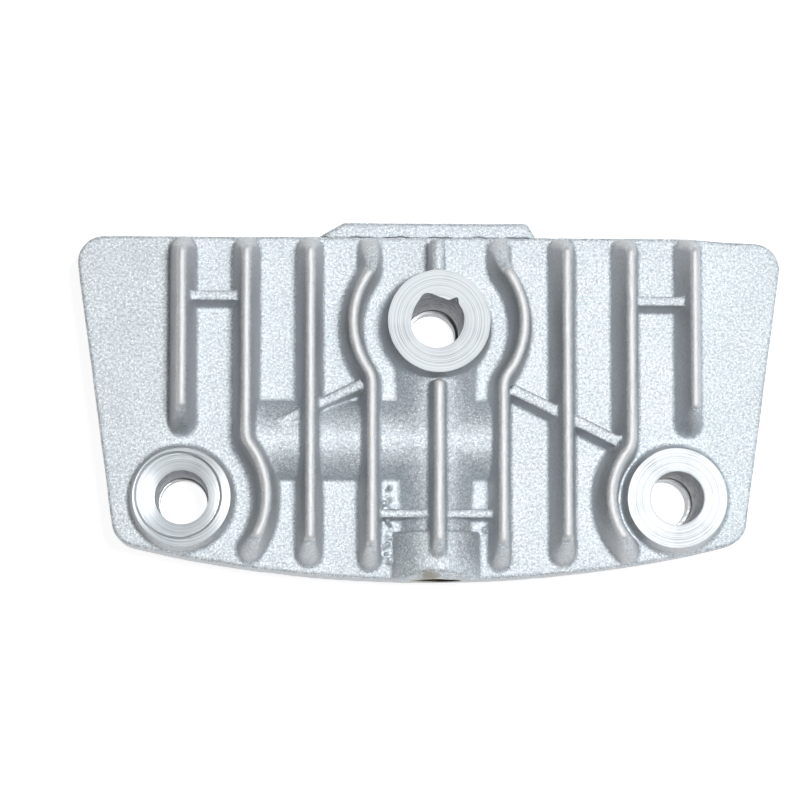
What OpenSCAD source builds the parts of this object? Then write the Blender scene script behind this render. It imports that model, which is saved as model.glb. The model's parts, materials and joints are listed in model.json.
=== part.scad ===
// Finned cylinder head of a small air compressor, with its gaskets, valve plate and reed valves.
// X runs along the head, Y from the outlet boss at the front to the intake nose at the back,
// and Z runs up through the fins. The origin lies on the cylinder's joint face, under the middle
// of the head.

/* [Head plate] */
// Half the head's length, to the sharp back left corner
back_left_x = 62; // [61:0.02:64]
// Half the head's length, to the sharp back right corner
back_right_x = 62; // [61:0.02:64]
// Half the length of the front edge, to its sharp corners
front_corner_x = 54.7; // [53.5:0.1:57]
// Back edge of the plate
back_y = 28.3; // [27.8:0.1:29]
// How far the back edge falls away at its right end
back_drop = 1.1; // [0:0.1:2]
// Front corners of the plate
front_corner_y = -25; // [-26:0.1:-24]
// Foremost point of the bowed front edge
front_y = -31.6; // [-32.5:0.1:-31]
// Radius of the plate's corners
corner_r = 4.5; // [3:0.1:6]
// Thickness of the plate between its joint face and the floor between the fins
plate_t = 13.4; // [13:0.1:15]

/* [Fins] */
// Distance from fin to fin
fin_pitch = 11; // [10.8:0.05:11.2]
// Height of the fins
fin_h = 12; // [11:0.25:14]
// Width of a fin at its tip
fin_tip_w = 1.8; // [1.4:0.1:2.4]
// Width of a fin where it meets the plate
fin_root_w = 4.2; // [3:0.1:4.4]
// How far the ends of a fin lean in
fin_end_run = 4; // [2:0.25:5]
// Middle of the fins, a little to the right of the plate's middle
fin_axis_x = 1; // [0:0.25:2]
// Thickness of the low ribs that tie the fins together
tie_t = 1.7; // [1.2:0.1:2.4]
// Height of those ribs
tie_h = 8; // [6:0.5:9]

/* [Bolt bosses] */
// Radius of the holes for the long M8 head bolts
bolt_r = 4.6; // [4.2:0.05:4.8]
// Distance between the two front bolts
front_bolt_spacing = 85.5; // [84:0.1:87]
// Place of the front bolts
front_bolt_y = -17.5; // [-18.5:0.1:-17]
// Height of the front bosses
front_boss_h = 5; // [3:0.25:8]
// Radius of the front bosses' faces
front_boss_r = 8.4; // [7.5:0.1:9]
// Place of the back bolt
rear_bolt_y = 12.3; // [11.8:0.1:12.8]
// Radius of the back boss's face
rear_boss_r = 8.7; // [8:0.1:9]

/* [Galleries] */
// Radius of the cross gallery
gallery_r = 6.9; // [6.5:0.1:7.5]
// Place of the cross gallery
gallery_y = -7.35; // [-7.8:0.05:-7]
// Radius of the outlet gallery at the back boss
outlet_wide_r = 7.25; // [6.5:0.05:7.6]
// Radius of the outlet gallery at the outlet boss
outlet_narrow_r = 5.95; // [5.5:0.05:6.4]
// Radius of the outlet boss
outlet_boss_r = 7.6; // [7:0.1:8.2]
// Radius of the outlet's G 1/8 thread, at its crests
outlet_thread_r = 4.3; // [4:0.05:4.6]
// Depth of the outlet's thread
outlet_thread_l = 10; // [8:0.5:11]

/* [Joint faces] */
// Thickness of each gasket
gasket_t = 0.8; // [0.5:0.1:1.2]
// Thickness of the valve plate
valve_plate_t = 5; // [4.6:0.1:6]
// Radius of the cylinder's bore
bore_r = 16; // [15.5:0.1:16.2]
// Middle of the cylinder's bore
bore_y = -11; // [-11.3:0.1:-10.7]
// Radius of the locating pins
pin_r = 2; // [1.5:0.1:2.5]

/* [Valves] */
// Thickness of the reeds
reed_t = 0.3; // [0.2:0.05:0.35]
// Width of the reeds' tongues
tongue_w = 6; // [5:0.25:7]
// Radius of the valve ports
port_r = 3; // [2.5:0.1:3.2]
// Lift angle of the discharge reed, which its stop allows
discharge_lift = 5; // [3:0.5:6]
// Radius of the screws that hold the discharge reed and its stop
screw_r = 1.5; // [1.25:0.05:1.6]

/* [Hidden] */
$fn = 64;

// Levels, from the cylinder's joint face up
plate_low_z = gasket_t;
plate_high_z = plate_low_z + valve_plate_t;
joint_z = plate_high_z + gasket_t;
floor_z = joint_z + plate_t;
tip_z = floor_z + fin_h;
gallery_z = floor_z - 0.9;
outlet_z = floor_z - 0.6;
sink = 0.6;

// Bolts
front_bolt_x = front_bolt_spacing / 2;
bolt_shift_x = -0.25;
bolts = [
    [bolt_shift_x - front_bolt_x, front_bolt_y],
    [bolt_shift_x + front_bolt_x, front_bolt_y],
    [fin_axis_x, rear_bolt_y]
];
rear_bolt = bolts[2];
boss_draft = 0.9;

// Front edge, a shallow arc between the front corners
front_sag = front_corner_y - front_y;
front_arc_r = (front_corner_x * front_corner_x + front_sag * front_sag) / (2 * front_sag);
function front_edge(x) = front_y + front_arc_r - sqrt(front_arc_r * front_arc_r - x * x);

// Fins
fin_back_y = back_y - 0.3;
fin_margin = 1.4;
end_step = 0.3;
end_drop = 1.5;
short_fin_front_y = -6.7;
bow_blend_r = 4;
rear_bow_r = 14.7;
left_bow_r = 14.6;
right_bow_r = 12.1;
tie_left_y = 17;
tie_right_y = 16.3;
tie_front_y = -20.3;
tie_low_h = 5.5;
back_rib_h = 9;
fin_tip_ease = 0.6;

// Outlet gallery and boss
outlet_boss_back_y = -23.3;
outlet_gallery_front_y = outlet_boss_back_y - 1;
outlet_drill_r = 3.5;
gallery_left_x = -32.6;
gallery_right_x = fin_axis_x + fin_pitch;
gallery_bore_left_x = -25.3;

// Intake nose
nose_y = 31.6;
nose_h = 7.9;
nose_mouth = [[-11, joint_z + 1.4], [13, joint_z + 6.4]];

// Plates and gaskets below the casting
plate_inset = 0.8;
gasket_inset = 1.2;
plate_bolt_r = bolt_r - 0.4;
gasket_bolt_r = bolt_r + 0.6;
gasket_pin_gap = 0.3;
gasket_chamber_gap = 0.4;

// Chambers in the casting's joint face
chamber_h = 10.4;
chamber_corner_r = 4;
chamber_wall_y = 3.2;
chamber_front_y = -22;
chamber_left_x = -20;
chamber_right_x = 33;
chamber_pocket_x = 9.5;
chamber_back_y = 24.8;
rear_core_r = 10.2;
pocket_left_x = -31.5;
pocket_right_x = 5.5;
pocket_half_w = 7.15;
gallery_bore_r = 4.9;

// Discharge valve, on top of the valve plate
discharge_port = [-8, gallery_y];
discharge_hinge_x = -24;
discharge_root_x = -30;
root_half_w = 6.2;
tongue_tip_r = port_r + 1.2;
hinge_gap = 0.1;
stop_t = 1.2;
stop_gap = 0.15;
stop_overlap = 1;
stop_end_x = -3.5;
stop_angle = discharge_lift + 0.4;
screw_x = -27;
screw_offset_y = 3.6;
screw_head_r = 2.75;
screw_head_h = 2;
screw_depth = 3.4;
screw_slot_w = 0.8;
screw_slot_depth = 0.9;
blind_spare = 0.2;
washer_t = 0.7;
washer_r = 2.6;
washer_split = 0.6;
hole_gap = 0.1;
fit_gap = 0.03;

// Suction valve, in a recess under the valve plate
recess_h = 2;
suction_port = [13.2, bore_y];
suction_hinge_x = 25;
suction_root_x = 31;
suction_slot_half_w = 5.6;
suction_root_half_w = 4.6;
rivet_x = 28;
rivet_offset_y = 2.5;
rivet_r = 1;
rivet_head_r = 1.9;
rivet_head_h = 0.8;

// Locating pins
pin_x = 52;
pin_y = 6;
pin_low_z = plate_low_z + 1.5;
pin_high_z = joint_z + 4;
pin_chamfer = 0.4;

cast_colour = [0.80, 0.83, 0.86];
gasket_colour = [0.16, 0.16, 0.17];
steel_colour = [0.66, 0.67, 0.69];
spring_steel_colour = [0.45, 0.47, 0.50];
screw_colour = [0.28, 0.28, 0.30];

// ---- Outlines -------------------------------------------------------------------------------

function unit(v) = v / norm(v);

// Outline through corners given as [x, y, radius], anticlockwise, each rounded with its radius.
function rounded(corners, steps = 8) = [
    for (i = [0 : len(corners) - 1])
        let (
            count = len(corners),
            here = [corners[i][0], corners[i][1]],
            before = corners[(i + count - 1) % count],
            after = corners[(i + 1) % count],
            r = corners[i][2],
            u = unit([before[0], before[1]] - here),
            v = unit([after[0], after[1]] - here),
            half = acos(u * v) / 2,
            centre = here + unit(u + v) * r / sin(half),
            arm = here + u * r / tan(half) - centre,
            start = atan2(arm[1], arm[0]),
            turn = -sign(cross(u, v)) * (180 - 2 * half)
        )
        for (k = [0 : r > 0 ? steps : 0])
            r > 0
                ? centre + r * [cos(start + turn * k / steps), sin(start + turn * k / steps)]
                : here
];

// The head's outline, drawn in by an inset for the plates and gaskets below it.
module head_outline(inset) {
    r = corner_r - inset / 2;
    side = inset * 1.1;
    front = [
        for (x = [-45 : 7.5 : 45]) [x, front_edge(x) + inset, 0]
    ];
    polygon(rounded(concat(
        [[-front_corner_x + side, front_corner_y + inset, r]],
        front,
        [
            [front_corner_x - side, front_corner_y + inset, r],
            [back_right_x - side, back_y - back_drop - inset, r],
            [43, back_y - inset, 0],
            [-back_left_x + side, back_y - inset, r]
        ]
    )));
}

// Chamber for the air that goes in: it wraps round the back bolt and reaches over the suction port.
module suction_chamber_outline(spread) {
    r = chamber_corner_r;
    difference() {
        polygon(rounded([
            [chamber_left_x - spread, chamber_wall_y - spread, r],
            [chamber_pocket_x - spread, chamber_wall_y - spread, r],
            [chamber_pocket_x - spread, chamber_front_y - spread, r],
            [chamber_right_x + spread, chamber_front_y - spread, r],
            [chamber_right_x + spread, chamber_back_y + spread, r],
            [chamber_left_x - spread, chamber_back_y + spread, r]
        ]));
        translate(rear_bolt) circle(r = rear_core_r - spread);
    }
}

// Pocket for the air that goes out, which also holds the discharge valve.
module discharge_pocket_outline(spread) {
    r = chamber_corner_r;
    low = gallery_y - pocket_half_w - spread;
    high = gallery_y + pocket_half_w + spread;
    polygon(rounded([
        [pocket_left_x - spread, low, r],
        [pocket_right_x + spread, low, r],
        [pocket_right_x + spread, high, r],
        [pocket_left_x - spread, high, r]
    ]));
}

// Round holes for the three head bolts.
module bolt_holes(r) {
    for (p = bolts) translate(p) circle(r = r);
}

// Holes for the two locating pins.
module pin_holes(r) {
    for (side = [-1, 1]) translate([side * pin_x, pin_y]) circle(r = r);
}

// ---- Fins -----------------------------------------------------------------------------------

// Height of a fin at a distance from its nearer end, where it leans in.
function end_height(d) = lookup(d, [
    [0, end_step],
    [fin_end_run / 2, fin_h - end_drop],
    [fin_end_run, fin_h]
]);

// Distance along a path to its point i.
function travelled(path, i) = i == 0 ? 0 : norm(path[i] - path[i - 1]) + travelled(path, i - 1);

// Cross-section of a fin of height h, as [across, up] from the plate's floor, widest at its root.
function fin_section(h) =
    let (
        tip = (fin_root_w - (fin_root_w - fin_tip_w) * h / fin_h) / 2,
        ease = min(fin_tip_ease, h / 2)
    )
    [
        [-fin_root_w / 2, -sink],
        [fin_root_w / 2, -sink],
        [tip, h - ease],
        [tip - ease, h],
        [ease - tip, h],
        [-tip, h - ease]
    ];

// Fin swept along a path in the plate's plane.
module fin(path) {
    last = len(path) - 1;
    whole = travelled(path, last);
    sides = len(fin_section(fin_h));
    rings = [
        for (i = [0 : last])
            let (
                along = unit(path[min(i + 1, last)] - path[max(i - 1, 0)]),
                s = travelled(path, i)
            )
            for (q = fin_section(end_height(min(s, whole - s))))
                [path[i][0] - along[1] * q[0], path[i][1] + along[0] * q[0], floor_z + q[1]]
    ];
    skin = [
        for (i = [0 : last - 1], k = [0 : sides - 1])
            let (next = (k + 1) % sides)
            [i * sides + k, (i + 1) * sides + k, (i + 1) * sides + next, i * sides + next]
    ];
    start_cap = [for (k = [0 : sides - 1]) k];
    end_cap = [for (k = [sides - 1 : -1 : 0]) last * sides + k];
    polyhedron(rings, concat([start_cap], skin, [end_cap]));
}

// Points of a straight fin's path, from the front end to the back end.
function straight_path(x, low_y, high_y) = [
    for (y = [
        low_y, low_y + fin_end_run / 2, low_y + fin_end_run,
        high_y - fin_end_run, high_y - fin_end_run / 2, high_y
    ]) [x, y]
];

function arc_path(centre, r, start, finish, steps) = [
    for (k = [0 : steps])
        let (a = start + (finish - start) * k / steps)
        centre + r * [cos(a), sin(a)]
];

// Path of a fin that swerves round a bolt boss at a distance of bow_r. It comes back to its own
// line beyond the boss, or where low_y lies beside the boss, it ends on the bow. It is worked out
// with the boss at the origin and the fin's own line on the right, then mirrored and moved.
function bowed_path(x, boss, bow_r, low_y, ends_on_bow) =
    let (
        side = sign(x - boss[0]),
        away = abs(x - boss[0]),
        blend_x = away + bow_blend_r,
        rise = sqrt(pow(bow_r + bow_blend_r, 2) - blend_x * blend_x),
        meet = atan2(rise, blend_x),
        low = low_y - boss[1],
        high = fin_back_y - boss[1],
        bow_start = ends_on_bow ? asin(low / bow_r) : -meet,
        front = ends_on_bow ? [] : concat(
            [for (y = [low, low + fin_end_run / 2, low + fin_end_run]) [away, y]],
            arc_path([blend_x, -rise], bow_blend_r, 180, 180 - meet, 4)
        ),
        bow = arc_path([0, 0], bow_r, bow_start, meet, 12),
        back = concat(
            arc_path([blend_x, rise], bow_blend_r, 180 + meet, 180, 4),
            [for (y = [high - fin_end_run, high - fin_end_run / 2, high]) [away, y]]
        ),
        whole = concat(
            front,
            [for (i = [len(front) > 0 ? 1 : 0 : len(bow) - 2]) bow[i]],
            back
        )
    )
    [for (q = whole) [boss[0] + side * q[0], boss[1] + q[1]]];

// Low rib between two points, with its height at each of them.
module tie_rib(start, finish, start_h, finish_h) {
    along = finish - start;
    translate([start[0], start[1], floor_z]) rotate([90, 0, atan2(along[1], along[0])])
        translate([0, 0, -tie_t / 2]) linear_extrude(tie_t) polygon([
            [0, -sink],
            [norm(along), -sink],
            [norm(along), finish_h],
            [0, start_h]
        ]);
}

function fin_x(place) = fin_axis_x + place * fin_pitch;
function fin_front(place) = front_edge(fin_x(place)) + fin_margin;

module fins() {
    for (place = [-4, 4]) fin(straight_path(fin_x(place), short_fin_front_y, fin_back_y));
    for (place = [-2, 2]) fin(straight_path(fin_x(place), fin_front(place), fin_back_y));
    for (place = [-1, 1])
        fin(bowed_path(fin_x(place), rear_bolt, rear_bow_r, fin_front(place), false));
    fin(bowed_path(fin_x(-3), bolts[0], left_bow_r, fin_front(-3), true));
    fin(bowed_path(fin_x(3), bolts[1], right_bow_r, fin_front(3), true));
    centre_rib();
    tie_ribs();
}

// The middle fin stops short of the back boss with an upright end. Behind the boss it goes on as
// a low, narrow rib.
module centre_rib() {
    rib_front_y = -29.3;
    rib_back_y = 2.4;
    intersection() {
        fin(straight_path(fin_axis_x, rib_front_y, rib_back_y + fin_end_run + 1));
        translate([fin_axis_x - fin_pitch / 2, rib_front_y, floor_z - sink])
            cube([fin_pitch, rib_back_y - rib_front_y, fin_h + sink]);
    }
    tie_rib([fin_axis_x, rear_bolt_y], [fin_axis_x, fin_back_y], back_rib_h, back_rib_h);
}

// Level ribs near the fins' ends, and two slanting ones. The left slanting rib sinks into the
// cross gallery, and the right one reaches the fin that bows round the right bolt.
module tie_ribs() {
    left_slant = [[-26, -4.6], [-12.3, 1.8]];
    right_slant = [[13.6, 1.1], [32, -8]];
    tie_rib([fin_x(-4), tie_left_y], [fin_x(-3), tie_left_y], tie_h, tie_h);
    tie_rib([fin_x(3), tie_right_y], [fin_x(4), tie_right_y], tie_h, tie_h);
    tie_rib(left_slant[0], left_slant[1], tie_low_h, tie_h);
    tie_rib(right_slant[0], right_slant[1], tie_h, tie_h);
    tie_rib([fin_x(-1), tie_front_y], [fin_x(1), tie_front_y], tie_low_h, tie_low_h);
}

// ---- The head's casting ---------------------------------------------------------------------

module bosses() {
    for (p = [bolts[0], bolts[1]]) translate([p[0], p[1], floor_z - sink])
        cylinder(h = front_boss_h + sink, r1 = front_boss_r + boss_draft, r2 = front_boss_r);
    translate([rear_bolt[0], rear_bolt[1], floor_z - sink])
        cylinder(h = fin_h + sink, r1 = rear_boss_r + boss_draft, r2 = rear_boss_r);
}

// Swollen runs over the passages: across the head, where the fin that bows round the left bolt
// closes its end, and forward to the outlet boss.
module galleries() {
    difference() {
        translate([gallery_left_x, gallery_y, gallery_z]) rotate([0, 90, 0])
            cylinder(h = gallery_right_x - gallery_left_x, r = gallery_r);
        translate([bolts[0][0], bolts[0][1], 0]) cylinder(h = tip_z, r = left_bow_r);
    }
    translate([fin_axis_x, outlet_gallery_front_y, gallery_z]) rotate([-90, 0, 0])
        cylinder(h = rear_bolt_y - outlet_gallery_front_y, r1 = outlet_narrow_r, r2 = outlet_wide_r);
    translate([fin_axis_x, outlet_boss_back_y, outlet_z]) rotate([90, 0, 0])
        cylinder(h = outlet_boss_back_y - front_y, r = outlet_boss_r);
}

// Nose that carries the air intake, behind the plate and lower than it.
module intake_nose() {
    overlap = 3;
    translate([0, 0, joint_z]) linear_extrude(nose_h) polygon([
        [-20.8, back_y - overlap],
        [19.5, back_y - overlap],
        [19.5, back_y],
        [17.4, nose_y],
        [-14.9, nose_y],
        [-20.8, back_y]
    ]);
}

module casting_passages() {
    through = 100;
    translate([0, 0, joint_z - 1]) {
        linear_extrude(chamber_h + 1) suction_chamber_outline(0);
        linear_extrude(chamber_h + 1) discharge_pocket_outline(0);
        linear_extrude(through) bolt_holes(bolt_r);
        linear_extrude(pin_high_z - joint_z + blind_spare + 1) pin_holes(pin_r + fit_gap);
    }
    gallery_bore();
    outlet_bore();
    translate([nose_mouth[0][0], chamber_back_y - 1, nose_mouth[0][1]])
        cube([nose_mouth[1][0] - nose_mouth[0][0], 10, nose_mouth[1][1] - nose_mouth[0][1]]);
}

// Arched roof of the discharge pocket, under the cross gallery.
module gallery_bore() {
    left_x = gallery_bore_left_x;
    translate([left_x, gallery_y, gallery_z]) rotate([0, 90, 0])
        cylinder(h = pocket_right_x - left_x, r = gallery_bore_r);
    translate([left_x, gallery_y - gallery_bore_r, joint_z + chamber_h - 1])
        cube([pocket_right_x - left_x, 2 * gallery_bore_r, gallery_z - joint_z - chamber_h + 1]);
}

// Threaded outlet with a narrower drilling behind it.
module outlet_bore() {
    translate([fin_axis_x, gallery_y, outlet_z]) rotate([90, 0, 0])
        cylinder(h = gallery_y - front_y, r = outlet_drill_r);
    translate([fin_axis_x, front_y + outlet_thread_l, outlet_z]) rotate([90, 0, 0])
        cylinder(h = outlet_thread_l + 1, r = outlet_thread_r);
}

module head_casting() {
    color(cast_colour) difference() {
        union() {
            translate([0, 0, joint_z]) linear_extrude(plate_t) head_outline(0);
            intake_nose();
            bosses();
            galleries();
            fins();
        }
        casting_passages();
    }
}

// ---- Gaskets and valve plate ----------------------------------------------------------------

module head_gasket() {
    color(gasket_colour) translate([0, 0, plate_high_z]) linear_extrude(gasket_t) difference() {
        head_outline(gasket_inset);
        suction_chamber_outline(gasket_chamber_gap);
        discharge_pocket_outline(gasket_chamber_gap);
        bolt_holes(gasket_bolt_r);
        pin_holes(pin_r + gasket_pin_gap);
    }
}

module cylinder_gasket() {
    color(gasket_colour) linear_extrude(gasket_t) difference() {
        head_outline(gasket_inset);
        translate([fin_axis_x, bore_y]) circle(r = bore_r + gasket_chamber_gap);
        bolt_holes(gasket_bolt_r);
    }
}

module valve_plate() {
    color(steel_colour) difference() {
        translate([0, 0, plate_low_z]) linear_extrude(valve_plate_t) difference() {
            head_outline(plate_inset);
            bolt_holes(plate_bolt_r);
            translate(discharge_port) circle(r = port_r);
            translate(suction_port) circle(r = port_r);
        }
        translate([0, 0, plate_low_z - 1]) linear_extrude(recess_h + 1) suction_recess_outline();
        valve_plate_fixings();
    }
}

// Room under the plate for the suction reed: the bore's circle, and a slot for the reed's root.
module suction_recess_outline() {
    slot_x = fin_axis_x + bore_r / 2;
    translate([fin_axis_x, bore_y]) circle(r = bore_r);
    translate([slot_x, bore_y - suction_slot_half_w])
        square([suction_root_x + 1 - slot_x, 2 * suction_slot_half_w]);
}

module valve_plate_fixings() {
    for (side = [-1, 1]) {
        translate([screw_x, gallery_y + side * screw_offset_y, plate_high_z - screw_depth - blind_spare])
            cylinder(h = screw_depth + 1, r = screw_r + fit_gap);
        translate([rivet_x, bore_y + side * rivet_offset_y, plate_low_z + recess_h - 1])
            cylinder(h = valve_plate_t, r = rivet_r + fit_gap);
        translate([side * pin_x, pin_y, pin_low_z - blind_spare])
            cylinder(h = valve_plate_t, r = pin_r + fit_gap);
    }
}

// ---- Discharge valve ------------------------------------------------------------------------

// Flat strip along X from its root to a port, with a round end over the port.
module tongue_outline(start_x, port) {
    union() {
        translate(port) circle(r = tongue_tip_r);
        translate([min(start_x, port[0]), port[1] - tongue_w / 2])
            square([abs(port[0] - start_x), tongue_w]);
    }
}

module discharge_reed() {
    color(spring_steel_colour) translate([0, 0, plate_high_z]) linear_extrude(reed_t)
        tongue_outline(discharge_hinge_x + hinge_gap, discharge_port);
}

module discharge_reed_root() {
    color(spring_steel_colour) translate([0, 0, plate_high_z]) linear_extrude(reed_t) difference() {
        translate([discharge_root_x, gallery_y - root_half_w])
            square([discharge_hinge_x - hinge_gap - discharge_root_x, 2 * root_half_w]);
        discharge_screw_holes();
    }
}

module discharge_screw_holes() {
    for (side = [-1, 1])
        translate([screw_x, gallery_y + side * screw_offset_y]) circle(r = screw_r + hole_gap);
}

// Stiff plate over the reed: its root clamps the reed, and its arm leans up to stop the tongue.
module discharge_stop() {
    low = plate_high_z + reed_t;
    arm_low = low + stop_gap;
    arm_rise = (stop_end_x - discharge_hinge_x) * tan(stop_angle);
    arm_low_end = arm_low + arm_rise;
    color(steel_colour) difference() {
        union() {
            translate([discharge_root_x, gallery_y - root_half_w, low])
                cube([discharge_hinge_x - 2 * hinge_gap - discharge_root_x, 2 * root_half_w, stop_t]);
            translate([0, gallery_y + tongue_w / 2, 0]) rotate([90, 0, 0])
                linear_extrude(tongue_w) polygon([
                    [discharge_hinge_x - stop_overlap, low + stop_t / 3],
                    [discharge_hinge_x, arm_low],
                    [stop_end_x, arm_low_end],
                    [stop_end_x, arm_low_end + stop_t],
                    [discharge_hinge_x, arm_low + stop_t],
                    [discharge_hinge_x - stop_overlap, low + stop_t]
                ]);
        }
        translate([0, 0, low - 1]) linear_extrude(stop_t + 2) discharge_screw_holes();
    }
}

// Spring washer and cheese-headed screw, drawn at one side of the valve's middle line.
module discharge_lock_washer(side) {
    color(screw_colour) translate([screw_x, gallery_y + side * screw_offset_y, stop_high_z()])
        difference() {
            cylinder(h = washer_t, r = washer_r);
            translate([0, 0, -1]) cylinder(h = washer_t + 2, r = screw_r + hole_gap);
            translate([0, -washer_split / 2, -1]) cube([washer_r + 1, washer_split, washer_t + 2]);
        }
}

module discharge_screw(side) {
    head_low = stop_high_z() + washer_t;
    shank_low = plate_high_z - screw_depth;
    color(screw_colour) translate([screw_x, gallery_y + side * screw_offset_y, 0]) difference() {
        union() {
            translate([0, 0, shank_low]) cylinder(h = head_low + 1 - shank_low, r = screw_r);
            translate([0, 0, head_low]) cylinder(h = screw_head_h, r = screw_head_r);
        }
        translate([-screw_head_r - 1, -screw_slot_w / 2, head_low + screw_head_h - screw_slot_depth])
            cube([2 * screw_head_r + 2, screw_slot_w, screw_slot_depth + 1]);
    }
}

function stop_high_z() = plate_high_z + reed_t + stop_t;

// ---- Suction valve --------------------------------------------------------------------------

function suction_reed_z() = plate_low_z + recess_h - reed_t;

module suction_reed() {
    color(spring_steel_colour) translate([0, 0, suction_reed_z()]) linear_extrude(reed_t)
        tongue_outline(suction_hinge_x - hinge_gap, suction_port);
}

module suction_reed_root() {
    color(spring_steel_colour) translate([0, 0, suction_reed_z()]) linear_extrude(reed_t)
        difference() {
            translate([suction_hinge_x + hinge_gap, bore_y - suction_root_half_w])
                square([suction_root_x - suction_hinge_x - hinge_gap, 2 * suction_root_half_w]);
            for (side = [-1, 1])
                translate([rivet_x, bore_y + side * rivet_offset_y]) circle(r = rivet_r + hole_gap);
        }
}

// Rivet that holds the suction reed's root up against the plate.
module suction_rivet(side) {
    color(steel_colour) translate([rivet_x, bore_y + side * rivet_offset_y, 0]) union() {
        translate([0, 0, suction_reed_z() - rivet_head_h])
            cylinder(h = rivet_head_h, r = rivet_head_r);
        translate([0, 0, suction_reed_z() - rivet_head_h / 2])
            cylinder(h = plate_high_z - suction_reed_z(), r = rivet_r);
    }
}

// ---- Locating pins --------------------------------------------------------------------------

// Hardened pin that lines the head up with the valve plate.
module locating_pin(side) {
    color(steel_colour) translate([side * pin_x, pin_y, 0]) rotate_extrude() polygon([
        [0, pin_low_z],
        [pin_r - pin_chamfer, pin_low_z],
        [pin_r, pin_low_z + pin_chamfer],
        [pin_r, pin_high_z - pin_chamfer],
        [pin_r - pin_chamfer, pin_high_z],
        [0, pin_high_z]
    ]);
}

head_casting();
head_gasket();
valve_plate();
cylinder_gasket();
discharge_reed();
discharge_reed_root();
discharge_stop();
discharge_screw(-1);  // discharge_screw_front
discharge_screw(1);  // discharge_screw_back
discharge_lock_washer(-1);  // discharge_lock_washer_front
discharge_lock_washer(1);  // discharge_lock_washer_back
suction_reed();
suction_reed_root();
suction_rivet(-1);  // suction_rivet_front
suction_rivet(1);  // suction_rivet_back
locating_pin(-1);  // locating_pin_left
locating_pin(1);  // locating_pin_right
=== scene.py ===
"""Looks of a finned compressor cylinder head: the casting's skin, its machined faces and the rest.

The casting's skin is worked out as a field of distances in millimetres, where fins, bosses and
galleries run into each other with cast fillets. It becomes a mesh, and the machine's cuts follow:
the joint face, the spot-faced bosses, the bolt holes and the tapped outlet.
"""

import json
import math

import bpy
import numpy as np
from mathutils import Matrix, Vector


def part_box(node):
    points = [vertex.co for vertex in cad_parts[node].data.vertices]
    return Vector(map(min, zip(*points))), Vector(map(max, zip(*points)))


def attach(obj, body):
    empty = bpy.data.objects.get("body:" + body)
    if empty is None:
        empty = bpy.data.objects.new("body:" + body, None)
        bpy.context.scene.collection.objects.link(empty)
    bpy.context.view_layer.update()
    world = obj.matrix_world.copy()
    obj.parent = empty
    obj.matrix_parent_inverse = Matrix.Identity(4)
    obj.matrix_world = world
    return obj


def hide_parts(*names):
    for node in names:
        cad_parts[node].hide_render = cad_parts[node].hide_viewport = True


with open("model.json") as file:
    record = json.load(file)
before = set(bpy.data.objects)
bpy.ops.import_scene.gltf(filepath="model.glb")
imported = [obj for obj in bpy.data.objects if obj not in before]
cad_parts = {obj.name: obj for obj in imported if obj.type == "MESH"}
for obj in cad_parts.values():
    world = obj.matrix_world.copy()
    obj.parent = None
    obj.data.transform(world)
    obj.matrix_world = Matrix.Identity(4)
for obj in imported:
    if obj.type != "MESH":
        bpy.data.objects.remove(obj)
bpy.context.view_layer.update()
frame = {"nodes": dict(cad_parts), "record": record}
NODES = frame["nodes"]
MOUNTS = {m["name"]: m for m in frame["record"]["mounts"]}
MM = 0.001
FAR = 1e9


# ---- Sizes, in millimetres --------------------------------------------------------------------

def box_mm(node):
    """Lowest and highest corner of a CAD node, in millimetres."""
    low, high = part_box(node)
    return np.array(low) / MM, np.array(high) / MM


def mount_mm(name):
    return np.array(MOUNTS[name]["pos_m"]) / MM


CAST_LOW, CAST_HIGH = box_mm("head_casting")
JOINT_Z = CAST_LOW[2]
TIP_Z = CAST_HIGH[2]
FRONT_Y = CAST_LOW[1]
NOSE_Y = CAST_HIGH[1]
PLATE_T = 13.4
FLOOR_Z = JOINT_Z + PLATE_T
FIN_H = TIP_Z - FLOOR_Z
SINK = 2.0  # how far the fins and bosses reach down into the plate

BOLT_R = MOUNTS["front_bolts"]["dims"]["hole_r_mm"]
HALF_SPACING = MOUNTS["front_bolts"]["dims"]["spacing_x_mm"] / 2
FRONT_BOLTS = mount_mm("front_bolts")
LEFT_BOLT = np.array([FRONT_BOLTS[0] - HALF_SPACING, FRONT_BOLTS[1]])
RIGHT_BOLT = np.array([FRONT_BOLTS[0] + HALF_SPACING, FRONT_BOLTS[1]])
REAR_BOLT = mount_mm("rear_bolt")[:2]
FRONT_BOSS_Z = FRONT_BOLTS[2]
LEFT_BOSS_R = 8.25
RIGHT_BOSS_R = 8.45
REAR_BOSS_R = 8.7
BOSS_DRAFT = 1.0
DISH_R = 7.25
DISH_DEPTH = 0.75
DISH_SHIFT = (-0.6, 0.35)
COUNTERSINK_R = BOLT_R + 1.35
RAGGED_DEPTH = 5.5  # how deep the back hole's cast rim stays ragged

OUTLET = mount_mm("outlet_port")
THREAD_R = MOUNTS["outlet_port"]["dims"]["r_mm"]
THREAD_L = MOUNTS["outlet_port"]["dims"]["length_mm"]
THREAD_PITCH = 0.907
THREAD_DEPTH = 0.5
THREAD_LEAD = 0.9
THREAD_TAPER = 2.6
DRILL_R = 3.5
DRILL_START = 8.0  # in front of the head's middle

# Plate
CORNER_BACK_X = 62.0
CORNER_FRONT_X = 54.7
BACK_Y = 28.3
BACK_DROP = 1.1
BACK_BEND_X = 43.0
FRONT_CORNER_Y = -25.0
FRONT_ARC_X = 45.0
CORNER_R = 4.5
EDGE_R = 0.5

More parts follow.
